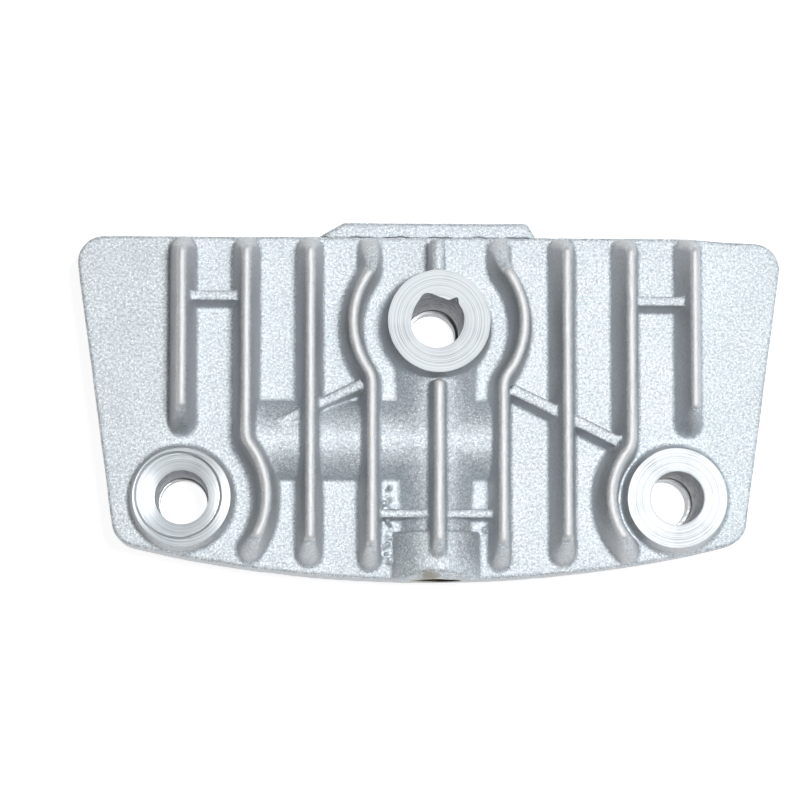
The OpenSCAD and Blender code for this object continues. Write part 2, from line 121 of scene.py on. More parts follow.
# Fins
PITCH = 11.0
AXIS_X = REAR_BOLT[0]
TIP_R = 0.95
RIB_TIP_R = 1.05
ROOT_R = 2.35
INNER_ROOT_R = 2.0
FIN_RUN = 4.0
BACK_RUN = 2.6
INNER_BACK_RUN = 6.5
LEFT_INNER_SHIFT = 0.5
FIN_BACK_Y = BACK_Y - 0.3
FIN_MARGIN = 1.4
SHORT_FIN_FRONT_Y = -6.7
BLEND_R = 4.0
REAR_BOW_R = 14.7
LEFT_BOW_R = 14.6
RIGHT_BOW_R = 12.1
RIB_H = 8.0
BACK_RIB_H = 9.0
FILLET = 0.5
RIB_FILLET = 0.4

# Galleries
GALLERY_Y = -7.35
GALLERY_R = 6.9
GALLERY_Z = FLOOR_Z - 0.9
GALLERY_LEFT_X = -32.6
OUTLET_WIDE_R = 7.25
OUTLET_NARROW_R = 5.95
OUTLET_BOSS_R = 7.6
OUTLET_BOSS_BACK_Y = -23.3
GALLERY_BORE_R = 4.6
GALLERY_SINK = 3.0

# Intake nose
NOSE_H = 7.9
NOSE_MOUTH = ((-11.0, JOINT_Z + 1.4), (13.0, JOINT_Z + 6.4))
NOSE_MOUTH_BACK_Y = 24.0
NOSE_GROOVE_DEPTH = 1.2
NOSE_GROOVE_HALF_W = 0.4

# Chambers open to the joint face. The suction chamber leaves a corner for the discharge pocket
CHAMBER_LOW_Z = JOINT_Z - 3
CHAMBER_TOP = JOINT_Z + 10.4
CHAMBER_CORNER_R = 4.0
CHAMBER_EDGE_R = 1.5
SUCTION_X = (-20.0, 33.0)
SUCTION_Y = (-22.0, 24.8)
SUCTION_STEP = (9.5, 3.2)
REAR_CORE_R = 10.2
POCKET_X = (-31.5, 5.5)
POCKET_HALF_W = 7.15

# Mesh of the casting
FINE_STEP = 0.3
MOST_TRIANGLES = 150000
SHARP_ANGLE = math.radians(38)

# Looks, lights and camera, in metres
STAIN = (-0.0005, -0.0312, 0.0255)  # brown, on the front edge
HEAD_MIDDLE = (0, 0, 0.02)
CAMERA_PLACE = (-0.0299, -0.0528, 0.620)
CAMERA_TARGET = (-0.00525, -0.00026, FLOOR_Z * MM)
CAMERA_LENS = 156


# ---- Plane outlines and paths -----------------------------------------------------------------

def front_edge(x):
    """The plate's bowed front edge: an arc through its foremost point and the front corners."""
    sag = FRONT_CORNER_Y - FRONT_Y
    r = (CORNER_FRONT_X ** 2 + sag ** 2) / (2 * sag)
    return FRONT_Y + r - math.sqrt(r * r - x * x)


def rounded(corners, steps=10):
    """Closed outline through (x, y, radius) corners, anticlockwise, with each corner rounded."""
    made = []
    for i, (x, y, r) in enumerate(corners):
        here = np.array([x, y])
        if r == 0:
            made.append(here)
            continue
        u = np.array(corners[i - 1][:2]) - here
        v = np.array(corners[(i + 1) % len(corners)][:2]) - here
        u, v = u / np.linalg.norm(u), v / np.linalg.norm(v)
        half = math.acos(np.clip(u @ v, -1, 1)) / 2
        middle = (u + v) / np.linalg.norm(u + v)
        centre = here + middle * r / math.sin(half)
        arm = here + u * r / math.tan(half) - centre
        start = math.atan2(arm[1], arm[0])
        turn = -math.copysign(math.pi - 2 * half, u[0] * v[1] - u[1] * v[0])
        for k in range(steps + 1):
            a = start + turn * k / steps
            made.append(centre + r * np.array([math.cos(a), math.sin(a)]))
    return np.array(made)


def plate_outline():
    front = [(x, front_edge(x), 0) for x in np.linspace(-FRONT_ARC_X, FRONT_ARC_X, 19)]
    return rounded([
        (-CORNER_FRONT_X, FRONT_CORNER_Y, CORNER_R), *front,
        (CORNER_FRONT_X, FRONT_CORNER_Y, CORNER_R),
        (CORNER_BACK_X, BACK_Y - BACK_DROP, CORNER_R),
        (BACK_BEND_X, BACK_Y, 0),
        (-CORNER_BACK_X, BACK_Y, CORNER_R),
    ])


def nose_outline():
    overlap = 3
    return rounded([
        (-20.8, BACK_Y - overlap, 0), (19.5, BACK_Y - overlap, 0), (19.5, BACK_Y, 0),
        (17.4, NOSE_Y, 0.8), (-14.9, NOSE_Y, 0.8), (-20.8, BACK_Y, 0),
    ])


def box_outline(left, low, right, high, r):
    return rounded([(left, low, r), (right, low, r), (right, high, r), (left, high, r)])


def suction_outline():
    r = CHAMBER_CORNER_R
    (left, right), (front, back), (step_x, step_y) = SUCTION_X, SUCTION_Y, SUCTION_STEP
    return rounded([
        (left, step_y, r), (step_x, step_y, r), (step_x, front, r),
        (right, front, r), (right, back, r), (left, back, r),
    ])


def discharge_outline():
    (left, right), half = POCKET_X, POCKET_HALF_W
    return box_outline(left, GALLERY_Y - half, right, GALLERY_Y + half, CHAMBER_CORNER_R)


def arc(centre, r, start, finish, steps):
    """Points of an arc, with its angles in radians."""
    a = np.linspace(start, finish, steps + 1)[:, None]
    return np.array(centre) + r * np.hstack([np.cos(a), np.sin(a)])


def straight_path(x, low_y, high_y):
    return np.array([(x, low_y), (x, high_y)])


def bowed_path(x, boss, bow_r, low_y, ends_on_bow=False):
    """A fin's path that swerves round a boss, worked out with the boss at the origin."""
    bow_steps, blend_steps = 24, 8
    side = math.copysign(1, x - boss[0])
    away = abs(x - boss[0])
    blend_x = away + BLEND_R
    rise = math.sqrt((bow_r + BLEND_R) ** 2 - blend_x ** 2)
    meet = math.atan2(rise, blend_x)
    low, high = low_y - boss[1], FIN_BACK_Y - boss[1]
    start = math.asin(low / bow_r) if ends_on_bow else -meet
    runs = [
        arc((0, 0), bow_r, start, meet, bow_steps),
        arc((blend_x, rise), BLEND_R, math.pi + meet, math.pi, blend_steps)[1:],
        [(away, high)],
    ]
    if not ends_on_bow:
        blend = arc((blend_x, -rise), BLEND_R, math.pi, math.pi - meet, blend_steps)
        runs = [[(away, low)], blend[:-1], *runs]
    path = np.vstack(runs)
    return path * (side, 1) + boss


# ---- Field of distances -----------------------------------------------------------------------

def joined(a, b, r):
    """Union of two distances, with a fillet of radius r between their surfaces."""
    if r == 0:
        return np.minimum(a, b)
    corner = np.hypot(np.maximum(r - a, 0), np.maximum(r - b, 0))
    return np.maximum(r, np.minimum(a, b)) - corner


def outline_distance(outline, x, y):
    """Signed distance to a closed outline in the plane, negative inside it."""
    x, y = np.broadcast_arrays(x, y)
    best = np.full(x.shape, FAR)
    inside = np.zeros(x.shape, bool)
    for (ax, ay), (bx, by) in zip(outline, np.roll(outline, -1, axis=0)):
        ex, ey = bx - ax, by - ay
        if ex == 0 and ey == 0:
            continue
        t = np.clip(((x - ax) * ex + (y - ay) * ey) / (ex * ex + ey * ey), 0, 1)
        best = np.minimum(best, np.hypot(x - ax - t * ex, y - ay - t * ey))
        if ey != 0:
            crosses = ((ay > y) != (by > y)) & (x < ax + (y - ay) * ex / ey)
            inside ^= crosses
    return np.where(inside, -best, best)


def along_path(path, x, y):
    """Distance travelled along a path and distance off it, for each point, and the path's length."""
    x, y = np.broadcast_arrays(x, y)
    best = np.full(x.shape, FAR)
    travelled = np.zeros(x.shape)
    off = np.full(x.shape, FAR)
    gone = 0.0
    for i, ((ax, ay), (bx, by)) in enumerate(zip(path[:-1], path[1:])):
        ex, ey = bx - ax, by - ay
        length = math.hypot(ex, ey)
        s = ((x - ax) * ex + (y - ay) * ey) / length
        first = -FAR if i == 0 else 0
        last = FAR if i == len(path) - 2 else length
        held = np.clip(s, 0, length)
        near = np.hypot(x - ax - held * ex / length, y - ay - held * ey / length)
        open_s = np.clip(s, first, last)
        sideways = np.hypot(x - ax - open_s * ex / length, y - ay - open_s * ey / length)
        closer = near < best
        best = np.where(closer, near, best)
        travelled = np.where(closer, gone + open_s, travelled)
        off = np.where(closer, sideways, off)
        gone += length
    return travelled, off, gone


class Field:
    """Signed distances on a grid, in millimetres, negative inside the solid.

    A shape gets the coordinates of a box of the grid and gives its own distances there.
    """

    EMPTY = 50.0
    SPARE_CELLS = 3

    def __init__(self, low, high, step):
        self.step = step
        self.axes = [np.arange(a, b + step, step) for a, b in zip(low, high)]
        self.d = np.full([len(a) for a in self.axes], self.EMPTY, np.float32)

    def _part(self, low, high, fillet):
        """Slices and coordinates of the grid's part in a box, with room for a fillet."""
        margin = fillet + self.SPARE_CELLS * self.step
        spans = tuple(
            slice(*np.searchsorted(a, (lo - margin, hi + margin)))
            for a, lo, hi in zip(self.axes, low, high)
        )
        return spans, np.ix_(*[a[s] for a, s in zip(self.axes, spans)])

    def add(self, low, high, shape, fillet=FILLET):
        spans, grid = self._part(low, high, fillet)
        self.d[spans] = joined(self.d[spans], shape(*grid), fillet)

    def cut(self, low, high, shape, fillet=0.0):
        spans, grid = self._part(low, high, fillet)
        self.d[spans] = -joined(-self.d[spans], shape(*grid), fillet)


def lattice_noise(field, size, seed):
    """Smooth random values from -1 to 1 on the field's grid, with lumps of about a size in mm."""
    rng = np.random.default_rng(seed)
    counts = [int((a[-1] - a[0]) / size) + 3 for a in field.axes]
    lumps = rng.uniform(-1, 1, counts)
    for axis, a in enumerate(field.axes):
        place = (a - a[0]) / size
        low = place.astype(int)
        t = place - low
        t = t * t * (3 - 2 * t)
        lumps = np.moveaxis(lumps, axis, -1)
        lumps = lumps[..., low] * (1 - t) + lumps[..., low + 1] * t
        lumps = np.moveaxis(lumps, -1, axis).astype(np.float32)
    return lumps


# ---- Shapes of the casting --------------------------------------------------------------------

def prism(outline, low_z, high_z, edge_r=0.0):
    """Upright prism over an outline, whose upper edge is rounded."""
    def shape(x, y, z):
        side = outline_distance(outline, x[..., 0], y[..., 0])[..., None] + edge_r
        up = z - high_z + edge_r
        body = np.hypot(np.maximum(side, 0), np.maximum(up, 0)) + np.minimum(np.maximum(side, up), 0)
        return np.maximum(body - edge_r, low_z - z)
    return shape


def fin(path, root_r=ROOT_R, back_run=BACK_RUN, tip_r=TIP_R):
    """Upright fin along a path, thinner towards its round tip, with ends that lean in."""
    straight = 0.6

    def shape(x, y, z):
        s, off, whole = along_path(path, x[..., 0], y[..., 0])
        s, off = s[..., None], off[..., None]
        up = np.clip((z - FLOOR_Z) / (FIN_H - tip_r), 0, 1)
        r = root_r + (tip_r - root_r) * up
        lean = straight * up + (1 - straight) * (1 - np.sqrt(1 - up * up))
        front, back = FIN_RUN * lean + r, back_run * lean + r
        past = np.maximum(np.maximum(front - s, s - whole + back), 0)
        over = z - FLOOR_Z - up * (FIN_H - tip_r)
        return np.sqrt(off * off + past * past + over * over) - r
    return shape


def low_rib(start, finish, start_h, finish_h, half_t, edge_r=0.35):
    """Flat-topped rib between two points of the plane, whose top may slope."""
    draft = 0.04
    start, finish = np.array(start), np.array(finish)
    length = np.linalg.norm(finish - start)
    u, v = (finish - start) / length

    def shape(x, y, z):
        s = (x - start[0]) * u + (y - start[1]) * v
        off = np.abs((y - start[1]) * u - (x - start[0]) * v)
        top = FLOOR_Z + start_h + (finish_h - start_h) * np.clip(s / length, 0, 1)
        wall = np.maximum(off - half_t - draft * (top - z), np.maximum(-s, s - length))
        return -joined(-wall, top - z, edge_r)
    return shape


def cone_boss(centre, face_r, base_r, top_z):
    """Upright boss that widens from its face down to the plate."""
    def shape(x, y, z):
        up = np.clip((z - FLOOR_Z) / (top_z - FLOOR_Z), 0, 1)
        wall = np.hypot(x - centre[0], y - centre[1]) - (base_r + (face_r - base_r) * up)
        return np.maximum(wall, z - top_z)
    return shape


def round_bar(start, finish, start_r, finish_r):
    """Bar with round ends between two points, tapering from one radius to another."""
    start, finish = np.array(start, float), np.array(finish, float)
    axis = finish - start
    def shape(x, y, z):
        t = ((x - start[0]) * axis[0] + (y - start[1]) * axis[1] + (z - start[2]) * axis[2])
        t = np.clip(t / (axis @ axis), 0, 1)
        gap = np.sqrt(sum((q - s - t * a) ** 2 for q, s, a in zip((x, y, z), start, axis)))
        return gap - (start_r + (finish_r - start_r) * t)
    return shape


def around(path, margin=3.0):
    """Box round a path at the height of the fins."""
    low, high = path.min(0) - margin, path.max(0) + margin
    return (*low, FLOOR_Z - SINK), (*high, TIP_Z)


def add_fins(field):
    def place(k):
        return AXIS_X + k * PITCH

    def front(k):
        return front_edge(place(k)) + FIN_MARGIN

    paths = [straight_path(place(k), SHORT_FIN_FRONT_Y, FIN_BACK_Y) for k in (-4, 4)]
    paths += [straight_path(place(k), front(k), FIN_BACK_Y) for k in (-2, 2)]
    paths.append(bowed_path(place(-3), LEFT_BOLT, LEFT_BOW_R, front(-3), ends_on_bow=True))
    paths.append(bowed_path(place(3), RIGHT_BOLT, RIGHT_BOW_R, front(3), ends_on_bow=True))
    for path in paths:
        field.add(*around(path), fin(path))
    for x, front_y in ((place(-1) - LEFT_INNER_SHIFT, front(-1)), (place(1), front(1))):
        path = bowed_path(x, REAR_BOLT, REAR_BOW_R, front_y)
        field.add(*around(path), fin(path, INNER_ROOT_R, INNER_BACK_RUN))


def add_low_ribs(field):
    """Ribs that tie the fins together, and the one from the back boss to the back edge."""
    side_margin = 2.0
    left, right = AXIS_X - PITCH, AXIS_X + PITCH
    for start, finish, start_h, finish_h, half_t in (
        ((left - 3 * PITCH, 17.0), (left - 2 * PITCH, 17.0), RIB_H, RIB_H, 0.85),
        ((right + 2 * PITCH, 16.3), (right + 3 * PITCH, 16.3), RIB_H, RIB_H, 0.85),
        ((-26.5, -4.8), (-12.0, 1.9), 5.4, RIB_H, 0.85),
        ((13.6, 1.1), (32.1, -8.0), RIB_H, RIB_H, 0.95),
        ((left, -20.3), (right, -20.3), 5.6, 5.6, 0.7),
    ):
        rib = low_rib(start, finish, start_h, finish_h, half_t)
        field.add(*around(np.array([start, finish]), side_margin), rib, RIB_FILLET)
    finish = (AXIS_X, FIN_BACK_Y - 1.1)
    rib = low_rib(REAR_BOLT, finish, BACK_RIB_H, BACK_RIB_H, half_t=1.1, edge_r=1.0)
    field.add(*around(np.array([REAR_BOLT, finish]), side_margin), rib, RIB_FILLET)


def add_centre_rib(field):
    """The middle fin, which stops at an upright end in front of the back boss."""
    front_y, back_y, end_edge_r = -29.7, 2.5, 0.8
    path = straight_path(AXIS_X, front_y, back_y + FIN_RUN + ROOT_R)
    whole = fin(path, INNER_ROOT_R, tip_r=RIB_TIP_R)

    def shape(x, y, z):
        return -joined(-whole(x, y, z), back_y - y, end_edge_r)

    field.add(*around(path), shape)


def add_bosses(field):
    """The bolt bosses, a little too tall, so that the cutter has something to take off."""
    spare = 1.0
    for centre, face_r, top_z in (
        (LEFT_BOLT, LEFT_BOSS_R, FRONT_BOSS_Z),
        (RIGHT_BOLT, RIGHT_BOSS_R, FRONT_BOSS_Z),
        (REAR_BOLT, REAR_BOSS_R, TIP_Z),
    ):
        reach = face_r + BOSS_DRAFT + 1
        field.add(
            (*(centre - reach), FLOOR_Z - SINK), (*(centre + reach), top_z + spare),
            cone_boss(centre, face_r, face_r + BOSS_DRAFT, top_z + spare), FILLET,
        )


def add_galleries(field):
    """The cross gallery, the one to the outlet, and the outlet's boss."""
    low_z = FLOOR_Z - GALLERY_SINK
    right_x = AXIS_X + PITCH

    def cross_bar(x, y, z):
        wall = np.hypot(y - GALLERY_Y, z - GALLERY_Z) - GALLERY_R
        bow = LEFT_BOW_R - np.hypot(x - LEFT_BOLT[0], y - LEFT_BOLT[1])
        return np.maximum(np.maximum(wall, bow), np.maximum(GALLERY_LEFT_X - x, x - right_x))

    field.add(
        (GALLERY_LEFT_X, GALLERY_Y - GALLERY_R, low_z),
        (right_x, GALLERY_Y + GALLERY_R, GALLERY_Z + GALLERY_R), cross_bar, FILLET,
    )
    front, back = (AXIS_X, OUTLET_BOSS_BACK_Y - 3, GALLERY_Z), (AXIS_X, REAR_BOLT[1], GALLERY_Z)
    out_bar = round_bar(front, back, OUTLET_NARROW_R, OUTLET_WIDE_R)
    field.add(
        (AXIS_X - OUTLET_WIDE_R, front[1] - 2, low_z),
        (AXIS_X + OUTLET_WIDE_R, REAR_BOLT[1], GALLERY_Z + OUTLET_WIDE_R), out_bar, 0.6,
    )

    edge_r = 0.4

    def outlet_boss(x, y, z):
        """Drum whose front end leans back above the port."""
        wall = np.hypot(x - AXIS_X, z - OUTLET[2]) - OUTLET_BOSS_R
        lean = 0.5 * np.maximum(z - OUTLET[2] - THREAD_R - edge_r, 0)
        end = np.maximum(FRONT_Y + lean - y, y - OUTLET_BOSS_BACK_Y)
        return -joined(-wall, -end, edge_r)

    field.add(
        (AXIS_X - OUTLET_BOSS_R, FRONT_Y, OUTLET[2] - OUTLET_BOSS_R),
        (AXIS_X + OUTLET_BOSS_R, OUTLET_BOSS_BACK_Y, OUTLET[2] + OUTLET_BOSS_R), outlet_boss, 0.4,
    )


def cut_chambers(field):
    """The rooms in the joint face, the bore between them, and the intake's mouth and groove."""
    low_z = CHAMBER_LOW_Z
    suction_plan, discharge_plan = suction_outline(), discharge_outline()
    suction = prism(suction_plan, low_z, CHAMBER_TOP, CHAMBER_EDGE_R)
    discharge = prism(discharge_plan, low_z, CHAMBER_TOP, CHAMBER_EDGE_R)

    def suction_room(x, y, z):
        core = np.hypot(x - REAR_BOLT[0], y - REAR_BOLT[1]) - REAR_CORE_R
        return np.maximum(suction(x, y, z), -core)

    for plan, room in ((suction_plan, suction_room), (discharge_plan, discharge)):
        field.cut((*plan.min(0), low_z), (*plan.max(0), CHAMBER_TOP), room)

    start = np.array([GALLERY_LEFT_X + 7, GALLERY_Y, GALLERY_Z])
    finish = np.array([2, GALLERY_Y, GALLERY_Z])
    reach, r = GALLERY_BORE_R + 1, GALLERY_BORE_R
    field.cut(start - reach, finish + reach, round_bar(start, finish, r, r))

    (left, low), (right, high) = NOSE_MOUTH
    mouth = box_outline(left, low, right, high, 1)

    def nose_room(x, y, z):
        wall = outline_distance(mouth, x[:, :, 0], z[0])
        return np.maximum(wall[:, None, :], NOSE_MOUTH_BACK_Y - y)

    field.cut((left, NOSE_MOUTH_BACK_Y, low), (right, NOSE_Y + 1, high), nose_room)
    groove_y, groove_z = BACK_Y + 0.3, JOINT_Z + NOSE_H - NOSE_GROOVE_DEPTH

    def groove(x, y, z):
        """Narrow wavy step between the nose and the plate's back edge."""
        wave = 0.12 * np.sin(x * 0.9) + 0.08 * np.sin(x * 2.3)
        return np.maximum(np.abs(y - groove_y) - NOSE_GROOVE_HALF_W - wave, groove_z - z)

    field.cut((-18.5, BACK_Y - 0.5, groove_z), (17.5, BACK_Y + 1, FLOOR_Z - 1), groove)


def add_flash(field):
    """Ragged flash left of the outlet boss, where the mould's parts met, and a speck on its right."""
    rng = np.random.default_rng(5)
    depth = 0.5
    lumps = [(9.6, -23.2, 1.0, 0.9)]
    for y in np.linspace(-15.5, -28.5, 18):
        x, up, r = rng.uniform((-8.3, 0.5, 0.4), (-6.9, 2.6, 0.85))
        lumps.append((x, y, up, r))
    for x, y, up, r in lumps:
        foot = np.array([x, y, FLOOR_Z - depth])
        tip = foot + (*rng.uniform(-0.6, 0.6, 2), up + depth - r / 2)
        low, high = np.minimum(foot, tip) - r - 1, np.maximum(foot, tip) + r + 1
        field.add(low, high, round_bar(foot, tip, r, r * 0.5), 0.25)


def casting_field(step):
    """The whole casting, which reaches past its joint face for the mill to cut back."""
    spare, low_z = 1.6, JOINT_Z - 1
    half_x = CORNER_BACK_X + 1.2
    low, high = (-half_x, FRONT_Y - spare, JOINT_Z - spare), (half_x, NOSE_Y + spare, TIP_Z + spare)
    field = Field(low, high, step)
    for outline, top_z, edge_r, fillet in (
        (plate_outline(), FLOOR_Z, EDGE_R, 0),
        (nose_outline(), JOINT_Z + NOSE_H, 0.7, 0.4),
    ):
        body = prism(outline, low_z, top_z, edge_r)
        field.add((*outline.min(0), low_z), (*outline.max(0), top_z), body, fillet)
    add_bosses(field)
    add_galleries(field)
    add_fins(field)
    add_centre_rib(field)
    add_low_ribs(field)
    add_flash(field)
    cut_chambers(field)
    for depth, size, seed in ((0.05, 3.7, 11), (0.035, 1.3, 12)):
        field.d -= depth * lattice_noise(field, size, seed)
    return field


# ---- Mesh of a field --------------------------------------------------------------------------

def surface_nets(field):
    """Vertices, in millimetres, and quads of the field's zero surface."""
    d = field.d
    inside = d < 0
    corners = [(i, j, k) for i in (0, 1) for j in (0, 1) for k in (0, 1)]
    size = np.array(d.shape) - 1

    def shifted(a, c):
        return a[c[0]:c[0] + size[0], c[1]:c[1] + size[1], c[2]:c[2] + size[2]]

    count = sum(shifted(inside, c).astype(np.int8) for c in corners)
    cells = np.argwhere((count > 0) & (count < 8))
    number = np.full(size, -1, np.int64)
    number[tuple(cells.T)] = np.arange(len(cells))
    total = np.zeros((len(cells), 3))
    hits = np.zeros(len(cells))
    for a in corners:
        for axis in range(3):
            if a[axis]:
                continue
            b = tuple(v + (n == axis) for n, v in enumerate(a))
            da = d[tuple((cells + a).T)]
            db = d[tuple((cells + b).T)]
            cross = (da < 0) != (db < 0)
            t = da[cross] / (da[cross] - db[cross])
            total[cross] += np.array(a) + t[:, None] * (np.array(b) - a)
            hits[cross] += 1
    origin = np.array([a[0] for a in field.axes])
    points = origin + (cells + total / hits[:, None]) * field.step

    quads = []
    for axis in range(3):
        u, v = (axis + 1) % 3, (axis + 2) % 3
        low = [slice(1, -1)] * 3
        low[axis] = slice(0, -1)
        high = list(low)
        high[axis] = slice(1, None)
        first, second = inside[tuple(low)], inside[tuple(high)]
        for leaves in (True, False):
            edges = np.argwhere((first & ~second) if leaves else (~first & second))
            edges += [0 if n == axis else 1 for n in range(3)]
            ring = []
            for du, dv in ((0, 0), (-1, 0), (-1, -1), (0, -1)):
                cell = edges.copy()
                cell[:, u] += du
                cell[:, v] += dv
                ring.append(number[tuple(cell.T)])
            quads.append(np.stack(ring if leaves else ring[::-1], axis=1))
    return points, np.vstack(quads)


def settle(field, points, rounds=2):
    """Moves points onto the zero surface, along the field's slope."""
    least_slope = 0.2
    origin = np.array([a[0] for a in field.axes])

    def sample(p):
        place = (p - origin) / field.step
        low = np.clip(place.astype(int), 0, np.array(field.d.shape) - 2)
        t = place - low
        value = 0
        for i in (0, 1):
            for j in (0, 1):
                for k in (0, 1):
                    weight = (
                        (t[:, 0] if i else 1 - t[:, 0])
                        * (t[:, 1] if j else 1 - t[:, 1])
                        * (t[:, 2] if k else 1 - t[:, 2])
                    )
                    value = value + weight * field.d[low[:, 0] + i, low[:, 1] + j, low[:, 2] + k]
        return value

    h = field.step / 2
    for _ in range(rounds):
        slope = np.stack(
            [(sample(points + h * e) - sample(points - h * e)) / (2 * h) for e in np.eye(3)], axis=1
        )
        steep = np.maximum((slope ** 2).sum(1), least_slope)
        move = -sample(points)[:, None] * slope / steep[:, None]
        points = points + np.clip(move, -h, h)
    return points


def mesh_object(name, points, faces):
    """Object whose mesh has these points, given in millimetres."""
    mesh = bpy.data.meshes.new(name)
    mesh.from_pydata((np.asarray(points) * MM).tolist(), [], faces)
    mesh.update()
    made = bpy.data.objects.new(name, mesh)
    bpy.context.scene.collection.objects.link(made)
    return made


def quad_mesh_object(name, points, quads):
    """The same for a large mesh of quads, filled straight from arrays."""
    mesh = bpy.data.meshes.new(name)
    mesh.vertices.add(len(points))
    mesh.vertices.foreach_set("co", (points * MM).astype(np.float32).ravel())
    mesh.loops.add(quads.size)
    mesh.loops.foreach_set("vertex_index", quads.astype(np.int32).ravel())
    mesh.polygons.add(len(quads))
    mesh.polygons.foreach_set("loop_start", np.arange(0, quads.size, 4, dtype=np.int32))
    mesh.update(calc_edges=True)
    mesh.validate()
    made = bpy.data.objects.new(name, mesh)
    bpy.context.scene.collection.objects.link(made)
    return made


def apply_modifiers(piece):
    """Makes an object's modifiers part of its mesh."""
    graph = bpy.context.evaluated_depsgraph_get()
    graph.update()
    mesh = bpy.data.meshes.new_from_object(piece.evaluated_get(graph))
    piece.modifiers.clear()
    old = piece.data
    piece.data = mesh
    bpy.data.meshes.remove(old)


def thin_out(piece, triangles):
    """Lowers the number of triangles, where the surface is flattest first."""
    now = sum(len(p.vertices) - 2 for p in piece.data.polygons)
    if now <= triangles:
        return
    made = piece.modifiers.new("thin", "DECIMATE")
    made.ratio = triangles / now
    apply_modifiers(piece)


def carve(piece, tool):
    """Takes a tool's shape out of a piece."""
    made = piece.modifiers.new("carve", "BOOLEAN")
    made.operation = "DIFFERENCE"
    made.solver = "MANIFOLD"
    made.object = tool
    apply_modifiers(piece)
    bpy.data.objects.remove(tool)


# ---- The machine's cuts -----------------------------------------------------------------------

def turned_tool(name, centre, profile, sides=128, ripple=None):
    """Tool turned about an upright axis: profile is (radius, z) pairs from the bottom up."""
    angles = np.linspace(0, 2 * math.pi, sides, endpoint=False)
    points = [(centre[0], centre[1], profile[0][1])]
    for r, z in profile:
        for a in angles:
            reach = r + (ripple(a, z) if ripple else 0)
            points.append((centre[0] + reach * math.cos(a), centre[1] + reach * math.sin(a), z))
    points.append((centre[0], centre[1], profile[-1][1]))
    faces = [(0, 1 + (k + 1) % sides, 1 + k) for k in range(sides)]
    for ring in range(len(profile) - 1):
        base = 1 + ring * sides
        for k in range(sides):
            after = (k + 1) % sides
            faces.append((base + k, base + after, base + sides + after, base + sides + k))
    top = 1 + (len(profile) - 1) * sides
    faces += [(len(points) - 1, top + k, top + (k + 1) % sides) for k in range(sides)]
    return mesh_object(name, points, faces)


def slab_tool(name, low, high):
    """Box-shaped tool between two corners."""
    (x0, y0, z0), (x1, y1, z1) = low, high
    points = [(x, y, z) for z in (z0, z1) for y in (y0, y1) for x in (x0, x1)]
    faces = [(0, 2, 3, 1), (4, 5, 7, 6), (0, 1, 5, 4), (1, 3, 7, 5), (3, 2, 6, 7), (2, 0, 4, 6)]
    return mesh_object(name, points, faces)


def ragged_mouth(angle, z):
    """How far the back hole's cast rim wanders from a circle: corners left by its core pin."""
    share = np.clip((z - TIP_Z) / RAGGED_DEPTH + 1, 0, 1)
    degrees = math.degrees(angle) % 360

    def bump(at, width, height):
        away = (degrees - at + 180) % 360 - 180
        return height * math.exp(-(away / width) ** 2)

    corners = bump(118, 14, 0.55) + bump(52, 7, 0.75) + bump(20, 25, 0.15)
    flats = bump(84, 18, -0.5) + bump(68, 9, -0.35) + bump(168, 22, -0.25)
    aside = -0.4 * math.cos(angle)
    return share * (aside + corners + flats)


def facing_tool(name, centre, r, face_z, clear):
    """Cutter that faces a boss, with its lower face at face_z."""
    return turned_tool(name, centre, [(1, face_z), (r, face_z), (r, clear), (1, clear)])


def cut_bolt_holes(piece):
    """The left boss is dished and countersunk, the right one bevelled, and the back one ragged."""
    through, clear = JOINT_Z - 5, TIP_Z + 6
    top_z, dish_z = FRONT_BOSS_Z, FRONT_BOSS_Z - DISH_DEPTH
    narrow_r = BOLT_R - 0.25
    bevel = 0.15
    carve(piece, turned_tool("left_hole", LEFT_BOLT, [
        (narrow_r, through), (narrow_r, JOINT_Z), (BOLT_R, dish_z - 1.0),
        (BOLT_R + 0.05, dish_z - 0.45), (COUNTERSINK_R, dish_z + 0.02), (COUNTERSINK_R, clear),
    ]))
    carve(piece, turned_tool("left_dish", LEFT_BOLT + DISH_SHIFT, [
        (1, dish_z), (DISH_R - 0.1, dish_z), (DISH_R + 0.3, top_z), (DISH_R + 0.3, clear), (1, clear),
    ]))
    carve(piece, facing_tool("left_rim", LEFT_BOLT, LEFT_BOSS_R + 2.2, top_z, clear))
    spot_r = RIGHT_BOSS_R + 1.4
    carve(piece, turned_tool("right_spot_face", RIGHT_BOLT, [
        (BOLT_R, through), (BOLT_R, top_z - bevel), (BOLT_R + bevel, top_z),
        (spot_r, top_z), (spot_r, clear),
    ]))
    levels = TIP_Z - np.linspace(RAGGED_DEPTH, 0, 12)
    carve(piece, turned_tool("rear_hole", REAR_BOLT, [
        (BOLT_R, through), *[(BOLT_R, z) for z in levels], (BOLT_R, clear),
    ], ripple=ragged_mouth))
    carve(piece, facing_tool("rear_spot_face", REAR_BOLT, REAR_BOSS_R + 2.6, TIP_Z, clear))


